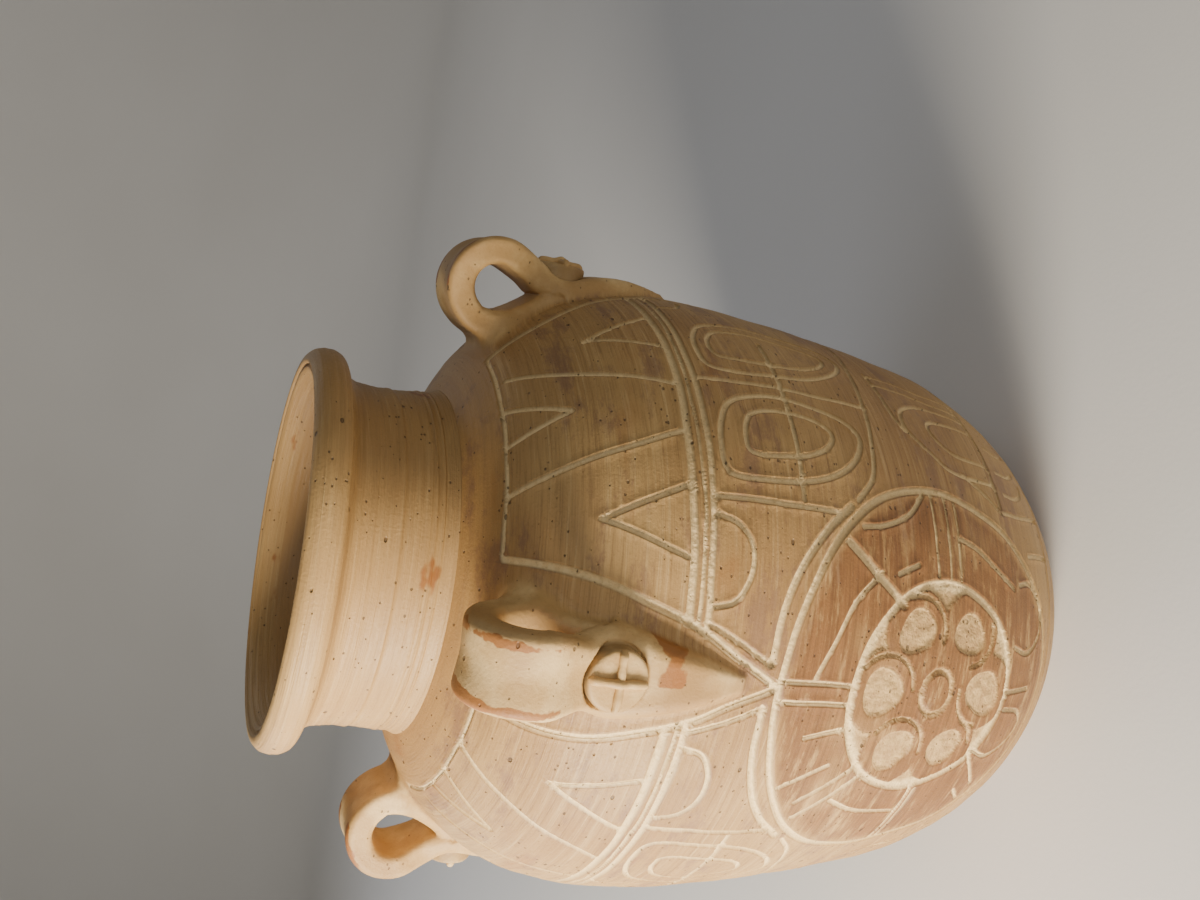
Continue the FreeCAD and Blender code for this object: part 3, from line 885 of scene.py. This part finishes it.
def paint_handle(piece, points):
    """Where the slip is rubbed off the strap, along its outer edges and on the tail; where the button sits;
    and painted shade in the crease round the button.
    """
    half = np.interp(points[:, 2], (188, 215, 250, 262, 290), (2, 12, 11, 13, 13))
    edge = np.exp(-(((np.abs(points[:, 1]) / half - 0.78) / 0.25) ** 2))
    edge = edge * smooth(244, 258, points[:, 2]) * smooth(LOOP_OUT - 10, LOOP_OUT, points[:, 0])
    from_loop = np.hypot(points[:, 0] - LOOP_OUT, points[:, 2] - LOOP_UP)
    edge = edge * smooth(LOOP_RADIUS - 1, LOOP_RADIUS + 2, from_loop)
    tail = 1.2 * np.exp(-(((points[:, 2] - 217) / 9) ** 2)) * smooth(-5, 0, points[:, 1])
    paint(piece, "wear", np.maximum(edge, tail))
    boss = np.hypot(points[:, 1], points[:, 2] - BOSS_HEIGHT)
    paint(piece, "boss", 1 - smooth(BOSS_RADIUS + 3.5, BOSS_RADIUS + 5, boss))
    # Painted shade: a dark ring in the crease where the button's edge meets the strap.
    paint(piece, "crease", np.exp(-(((boss - BOSS_RADIUS - 0.2) / 0.7) ** 2)) * (points[:, 0] > SEAT - 8))


def build_bar(side, number, upright):
    """One rolled bar of the cross, a little bent and lopsided, draped over the button."""
    node = ("bar_upright_" if upright else "bar_across_") + side
    step = 0.35
    reach = 12.0
    half_length = 8.9
    corner = np.array((SEAT, -reach, BOSS_HEIGHT - reach))
    x, y, z = grid(corner, (FACE + 5, reach, BOSS_HEIGHT + reach), step)
    lean = math.radians(5 * math.sin(number * 1.9 + upright))
    length, across = (z - BOSS_HEIGHT, -y) if upright else (y, z - BOSS_HEIGHT)
    u = length * math.cos(lean) - across * math.sin(lean)
    v = length * math.sin(lean) + across * math.cos(lean) - 0.35 * np.sin(u / 5 + number)
    radius = 1.4 + 0.12 * np.sin(u * 0.9 + number * 2)
    lie = dome(u) + 0.6 - 0.2 * np.maximum(np.abs(u) - 8, 0) ** 2
    if upright:
        lie = lie + 1.1 * np.exp(-((u / 2.4) ** 2))
    ends = np.maximum(np.abs(u) - half_length, 0)
    field = np.sqrt(ends**2 + v**2 + (x - lie) ** 2) - radius
    points, quads = surface_of(field, corner, step)
    piece = new_mesh("roll_" + node, in_place(points, number), quads)
    paint(piece, "proud", np.ones(len(points)))
    paint(piece, "boss", np.ones(len(points)))
    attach(piece, "root")
    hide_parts(node)
    return piece


# Materials. Every colour is mixed from noises in the frame's own coordinates, so the pieces match.


def shade(red, green, blue):
    """A colour given as it looks on a screen (0 to 255), as the linear values that a shader takes."""
    def linear(value):
        value /= 255
        return value / 12.92 if value <= 0.04045 else ((value + 0.055) / 1.055) ** 2.4
    return (linear(red), linear(green), linear(blue), 1.0)


SLIP = shade(184, 147, 92)
BUFF = shade(154, 115, 68)
DARK_BUFF = shade(112, 80, 48)
OCHRE = shade(178, 138, 82)
ORANGE = shade(142, 84, 34)
WASH = shade(108, 70, 38)
RUST = shade(138, 92, 50)
CREAM = shade(226, 194, 138)
CHALK = shade(234, 204, 148)
SCUFF = shade(128, 94, 72)
# Next: the dark brown of the pits, also used as painted shade in the crease round the button.
PIT_AND_SHADE = shade(56, 40, 28)
LINING = shade(160, 120, 72)


class Finish:
    """A material under construction. Inputs may be sockets, numbers, or colours."""

    def __init__(self, name):
        self.material = bpy.data.materials.new(name)
        self.material.use_nodes = True
        self.tree = self.material.node_tree
        self.shader = self.tree.nodes["Principled BSDF"]

    def feed(self, socket, value):
        """Links a socket, or sets a constant."""
        if isinstance(value, bpy.types.NodeSocket):
            self.tree.links.new(value, socket)
        else:
            socket.default_value = value

    def node(self, kind, settings=(), **inputs):
        """A node with its settings and inputs; spaces in an input's name are written as underscores."""
        made = self.tree.nodes.new(kind)
        for setting, value in dict(settings).items():
            setattr(made, setting, value)
        for name, value in inputs.items():
            self.feed(made.inputs[name.replace("_", " ")], value)
        return made

    def math(self, operation, a, b=0.0):
        """One sum on two values."""
        made = self.node("ShaderNodeMath", {"operation": operation})
        self.feed(made.inputs[0], a)
        self.feed(made.inputs[1], b)
        return made.outputs[0]

    def plus(self, a, b):
        """Two values added."""
        return self.math("ADD", a, b)

    def inverse(self, value):
        """What a value lacks to be 1."""
        return self.math("SUBTRACT", 1.0, value)

    def times(self, *values):
        """Values multiplied together."""
        total = values[0]
        for value in values[1:]:
            total = self.math("MULTIPLY", total, value)
        return total

    def step(self, value, low, high, most=1.0):
        """0 below low and most above high, smoothly; high may be under low to turn it round."""
        made = self.node("ShaderNodeMapRange", {"interpolation_type": "SMOOTHSTEP"}, Value=value)
        ends = {"From Min": low, "From Max": high, "To Min": 0.0, "To Max": most}
        if high < low:
            ends = {"From Min": high, "From Max": low, "To Min": most, "To Max": 0.0}
        for name, end in ends.items():
            made.inputs[name].default_value = end
        return made.outputs["Result"]

    def mix(self, factor, a, b):
        """One colour laid over another."""
        made = self.node("ShaderNodeMix", {"data_type": "RGBA"})
        self.feed(made.inputs[0], factor)
        self.feed(made.inputs[6], a)
        self.feed(made.inputs[7], b)
        return made.outputs[2]

    def places(self, across, up):
        """The frame's coordinates stretched differently across and up."""
        coordinates = self.node("ShaderNodeTexCoord").outputs["Object"]
        made = self.node("ShaderNodeMapping", Vector=coordinates)
        made.inputs["Scale"].default_value = (across, across, up)
        return made.outputs["Vector"]

    def noise(self, across, up, detail=3.0, rough=0.55, twist=0.0):
        """Noise with features 1/across metres wide and 1/up metres high."""
        made = self.node("ShaderNodeTexNoise", Vector=self.places(across, up), Scale=1.0,
                         Detail=detail, Roughness=rough, Distortion=twist)
        return made.outputs["Factor"] if "Factor" in made.outputs else made.outputs["Fac"]

    def spots(self, across, up, size, share):
        """Small scattered spots: a chosen share of cells each hold one."""
        made = self.node("ShaderNodeTexVoronoi", Vector=self.places(across, up), Scale=1.0)
        pick = self.node("ShaderNodeSeparateColor", Color=made.outputs["Color"])
        chosen = self.math("LESS_THAN", pick.outputs[0], share)
        reach = self.math("MULTIPLY", pick.outputs[1], size)
        inside = self.math("SUBTRACT", reach, made.outputs["Distance"])
        return self.times(chosen, self.step(inside, 0.0, size * 0.35))

    def attribute(self, name):
        """A number painted on the mesh."""
        return self.node("ShaderNodeAttribute", {"attribute_name": name}).outputs["Fac"]

    def height(self):
        """Height above the table in metres."""
        coordinates = self.node("ShaderNodeTexCoord").outputs["Object"]
        return self.node("ShaderNodeSeparateXYZ", Vector=coordinates).outputs["Z"]

    def finish(self, colour, roughness, relief, strength, distance=0.0009):
        """Connects the shader: colour, roughness, and a bump from the relief, its reach in metres."""
        self.feed(self.shader.inputs["Base Color"], colour)
        self.feed(self.shader.inputs["Roughness"], roughness)
        self.shader.inputs["Specular IOR Level"].default_value = 0.35
        bump = self.node("ShaderNodeBump", Height=relief)
        bump.inputs["Strength"].default_value = strength
        bump.inputs["Distance"].default_value = distance
        self.feed(self.shader.inputs["Normal"], bump.outputs["Normal"])
        return self.material


# Where the smooth slip of the shoulder begins, in metres.
SHOULDER_LINE = 0.267


def clay_ground(made):
    """What all the clay shares: brushed slip over buff, pits, and the relief they leave."""
    streaks = made.noise(16, 700, 5.0, 0.7)
    fine = made.noise(60, 2400, 2.0, 0.5)
    tone = made.noise(9, 14, 4.0, 0.55)
    grain = made.noise(900, 900, 3.0, 0.6)
    pits = made.math("MAXIMUM", made.spots(190, 330, 0.26, 0.12), made.spots(520, 800, 0.36, 0.14))
    body = made.mix(made.step(tone, 0.30, 0.72), BUFF, SLIP)
    colour = made.mix(made.step(streaks, 0.50, 0.75, 0.35), body, CREAM)
    colour = made.mix(made.step(streaks, 0.48, 0.28, 0.55), colour, DARK_BUFF)
    colour = made.mix(made.step(fine, 0.50, 0.32, 0.25), colour, DARK_BUFF)
    colour = made.mix(made.step(grain, 0.55, 0.75, 0.25), colour, DARK_BUFF)
    return {"streaks": streaks, "fine": fine, "tone": tone, "grain": grain, "pits": pits, "colour": colour}


def clay_relief(made, ground):
    """The bump: brush lines and grain stand up, pits go down."""
    lines = made.plus(ground["streaks"], made.times(ground["fine"], 0.6))
    relief = made.plus(made.times(lines, 0.26), made.times(ground["grain"], 0.22))
    return made.math("SUBTRACT", relief, made.times(ground["pits"], 1.3))


def wall_colour(made, ground):
    """The body's slip: a smooth ochre shoulder, scuffs, and blotches of orange clay."""
    shoulder = made.step(made.height(), SHOULDER_LINE - 0.0015, SHOULDER_LINE + 0.0015, 0.7)
    warm = made.mix(made.step(made.noise(22, 160, 3.0), 0.56, 0.85), OCHRE, ORANGE)
    ochre = made.mix(made.step(ground["streaks"], 0.36, 0.70), warm, BUFF)
    colour = made.mix(shoulder, ground["colour"], ochre)
    scuff = made.step(made.noise(28, 75, 6.0, 0.75), 0.51, 0.64, 0.6)
    blotch = made.step(made.noise(16, 50, 4.0, 0.6), 0.60, 0.74, 0.35)
    return made.mix(blotch, made.mix(scuff, colour, SCUFF), ORANGE)


def wall_finish():
    """The body: its slip, the red wash and the pale scratched lines."""
    made = Finish("wall_clay")
    ground = clay_ground(made)
    colour = wall_colour(made, ground)
    remnants = made.times(made.step(made.noise(45, 230, 5.0, 0.7), 0.68, 0.52),
                          made.step(made.noise(22, 90, 6.0, 0.75), 0.68, 0.55))
    wash = made.times(made.attribute("wash"), remnants, made.step(made.noise(13, 20, 3.0), 0.28, 0.46, 0.9))
    red = made.mix(made.step(ground["streaks"], 0.35, 0.7), WASH, RUST)
    colour = made.mix(wash, colour, red)
    chalk = made.mix(made.step(made.noise(300, 500, 3.0), 0.30, 0.60), CREAM, CHALK)
    chalk = made.mix(made.step(ground["grain"], 0.5, 0.7, 0.25), chalk, BUFF)
    scraped = made.mix(made.step(made.noise(240, 240, 4.0, 0.6), 0.40, 0.62), BUFF, SLIP)
    chalk = made.mix(made.times(made.attribute("flower"), 0.75), chalk, scraped)
    colour = made.mix(made.times(made.attribute("cut"), 0.9), colour, chalk)
    colour = made.mix(made.attribute("inside"), colour, made.mix(ground["streaks"], LINING, DARK_BUFF))
    colour = made.mix(made.times(ground["pits"], 0.65), colour, PIT_AND_SHADE)
    roughness = made.plus(0.38, made.times(ground["grain"], 0.3))
    chipped = made.times(made.attribute("cut"), made.noise(330, 330, 2.0, 0.5), 1.3)
    relief = made.plus(clay_relief(made, ground), chipped)
    return made.finish(colour, roughness, relief, 0.75)


def neck_finish():
    """Neck and rim: warmer, with clean throwing lines and a few orange places rubbed bare."""
    made = Finish("neck_clay")
    ground = clay_ground(made)
    colour = made.mix(0.3, ground["colour"], SLIP)
    colour = made.mix(made.step(made.noise(24, 50, 4.0, 0.6), 0.62, 0.68, 0.85), colour, ORANGE)
    lining = made.mix(ground["streaks"], LINING, BUFF)
    colour = made.mix(made.times(made.attribute("inside"), 0.65), colour, lining)
    colour = made.mix(made.times(ground["pits"], 0.65), colour, PIT_AND_SHADE)
    roughness = made.plus(0.36, made.times(ground["grain"], 0.3))
    thrown = made.times(made.noise(6, 520, 3.0, 0.6), 0.7)
    relief = made.plus(clay_relief(made, ground), thrown)
    return made.finish(colour, roughness, relief, 0.8)


def handle_finish():
    """Straps and buttons: smooth pale slip, worn to orange clay in patches at the edges and the tail, with
    painted shade in the crease round the button.
    """
    made = Finish("handle_clay")
    ground = clay_ground(made)
    cloud = made.noise(60, 60, 4.0, 0.6)
    patches = made.noise(34, 30, 5.0, 0.62)
    pale = made.mix(made.step(cloud, 0.38, 0.68, 0.6), SLIP, CREAM)
    pale = made.mix(made.step(made.noise(22, 22, 2.0), 0.42, 0.62, 0.7), pale, BUFF)
    worn = made.plus(patches, made.times(made.attribute("wear"), 0.34))
    bare = made.math("SUBTRACT", made.step(worn, 0.76, 0.80), made.attribute("boss"))
    colour = made.mix(made.times(made.math("MAXIMUM", bare, 0.0), 0.85), pale, ORANGE)
    colour = made.mix(made.step(ground["grain"], 0.55, 0.75, 0.2), colour, DARK_BUFF)
    proud = made.attribute("proud")
    colour = made.mix(proud, wall_colour(made, ground), colour)
    pits = made.times(ground["pits"], made.inverse(made.attribute("boss")))
    # Real pits darken the clay; the crease ring adds painted shade round the button in the same dark colour.
    pits_and_crease_shade = made.math("MAXIMUM", made.times(pits, 0.6), made.times(made.attribute("crease"), 0.35))
    colour = made.mix(pits_and_crease_shade, colour, PIT_AND_SHADE)
    relief = made.plus(made.times(cloud, 0.6), made.times(ground["grain"], 0.3))
    relief = made.math("SUBTRACT", relief, pits)
    brushed = made.times(clay_relief(made, ground), made.inverse(proud))
    relief = made.plus(made.times(relief, proud), brushed)
    roughness = made.plus(0.42, made.times(cloud, 0.3))
    return made.finish(colour, roughness, relief, 0.6)


def floor_finish():
    """A plain pale surface."""
    made = Finish("studio_floor")
    tone = made.noise(3, 3, 2.0)
    colour = made.mix(tone, shade(212, 208, 202), shade(220, 217, 212))
    return made.finish(colour, 0.7, made.noise(400, 400, 2.0), 0.05, 0.001)


def wear(piece, finish):
    """Gives a piece its material."""
    piece.data.materials.clear()
    piece.data.materials.append(finish)


# Stage: floor that curves up behind, soft light, camera.


def build_floor(finish):
    """A pale floor that rises in a wide bend behind the amphora."""
    bend, start, top, half = 900.0, 1500.0, 2600.0, 4000.0
    turns = np.radians(np.linspace(0, 90, 24))
    run = [(-2500.0, 0.0)] + [(start + bend * math.sin(t), bend * (1 - math.cos(t))) for t in turns]
    run.append((start + bend, top))
    heading = math.radians(VIEW_HEADING)
    ahead = np.array((math.cos(heading), math.sin(heading)))
    side = np.array((-ahead[1], ahead[0]))
    verts = [(*(ahead * out + side * way * half), up) for out, up in run for way in (-1, 1)]
    faces = [(2 * n, 2 * n + 2, 2 * n + 3, 2 * n + 1) for n in range(len(run) - 1)]
    floor = new_mesh("studio_sweep", np.array(verts) * MM, np.array(faces))
    wear(floor, finish)
    return floor


def add_light(name, place_at, aim, size, watts, colour):
    """A soft square light aimed at a point."""
    data = bpy.data.lights.new(name, "AREA")
    data.size = size
    data.energy = watts
    data.color = colour
    light = bpy.data.objects.new(name, data)
    light.location = place_at
    light.rotation_mode = "QUATERNION"
    light.rotation_quaternion = (Vector(aim) - Vector(place_at)).to_track_quat("-Z", "Y")
    bpy.context.scene.collection.objects.link(light)
    return light


def around(heading, distance, height):
    """A place in metres by compass heading round the amphora (0 is in front), distance and height."""
    turn = math.radians(heading - 90)
    return (distance * math.cos(turn), distance * math.sin(turn), height)


def add_lights():
    """A warm key light low on the left, three weaker cool ones round the amphora, and a pale room."""
    middle = (0, 0, 0.17)
    for name, stand, size, watts, colour in (
        ("key", (-48, 0.95, 0.34), 0.32, 29, (1.0, 0.93, 0.80)),
        ("cool", (-105, 1.2, 0.5), 0.8, 6, (0.74, 0.82, 1.0)),
        ("front", (20, 1.6, 1.2), 1.0, 7, (0.93, 0.96, 1.0)),
        ("back", (160, 1.5, 1.3), 1.0, 2, (0.95, 0.97, 1.0)),
    ):
        add_light(name, around(*stand), middle, size, watts, colour)
    world = bpy.data.worlds.new("room")
    world.use_nodes = True
    background = world.node_tree.nodes["Background"]
    background.inputs["Color"].default_value = (0.95, 0.97, 1.0, 1.0)
    background.inputs["Strength"].default_value = 0.125
    bpy.context.scene.world = world


# The camera stands a little right of the front handle, above the rim, and looks down to the right of
# the axis. It is turned on its side, so the mouth is at the left of the picture.
RIM_MIDDLE = 322.9
VIEW_SIDE = 14.0
VIEW_DISTANCE = 408.7
VIEW_RISE = 51.7
VIEW_YAW = 7.86
VIEW_DIP = 23.24
VIEW_ROLL = -81.0
VIEW_HEADING = 90 + VIEW_SIDE - VIEW_YAW


def add_camera():
    """The camera, placed by the numbers above."""
    data = bpy.data.cameras.new("camera")
    data.sensor_width = 36
    data.lens = 30
    data.clip_start = 0.01
    camera = bpy.data.objects.new("camera", data)
    camera.location = around(VIEW_SIDE, VIEW_DISTANCE * MM, (RIM_MIDDLE + VIEW_RISE) * MM)
    heading, dip = math.radians(VIEW_HEADING), math.radians(VIEW_DIP)
    ahead = Vector((math.cos(heading) * math.cos(dip), math.sin(heading) * math.cos(dip), -math.sin(dip)))
    camera.rotation_mode = "QUATERNION"
    roll = Quaternion((0, 0, 1), math.radians(VIEW_ROLL))
    camera.rotation_quaternion = ahead.to_track_quat("-Z", "Y") @ roll
    bpy.context.scene.collection.objects.link(camera)
    bpy.context.scene.camera = camera


# The amphora.


def build_amphora():
    """Every piece, with its finish."""
    wall, neck, handle = wall_finish(), neck_finish(), handle_finish()
    lines = [(width, hand_drawn(points)) for width, points in all_strokes()]
    for width, path in lines:
        stamp_line(path, width)
    for by in CIRCLE_TURNS:
        carve_flower(by)
    wear(build_wall("lower_wall", "lower_body", lines, FLOOR, SEAM), wall)
    wear(build_wall("upper_wall", "upper_body", lines, SEAM, NECK_FOOT), wall)
    wear(turn_piece("neck_wall", ["neck_collar"], neck_line(), neck_stray), neck)
    wear(turn_piece("rim_roll", ["rim_ring"], rim_line(), neck_stray), neck)
    for number, side in enumerate(("front", "right", "back", "left")):
        wear(build_handle(side, number), handle)
        wear(build_bar(side, number, False), handle)
        wear(build_bar(side, number, True), handle)
    wear(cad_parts["base_disc"], wall)


build_amphora()
build_floor(floor_finish())
add_lights()
add_camera()
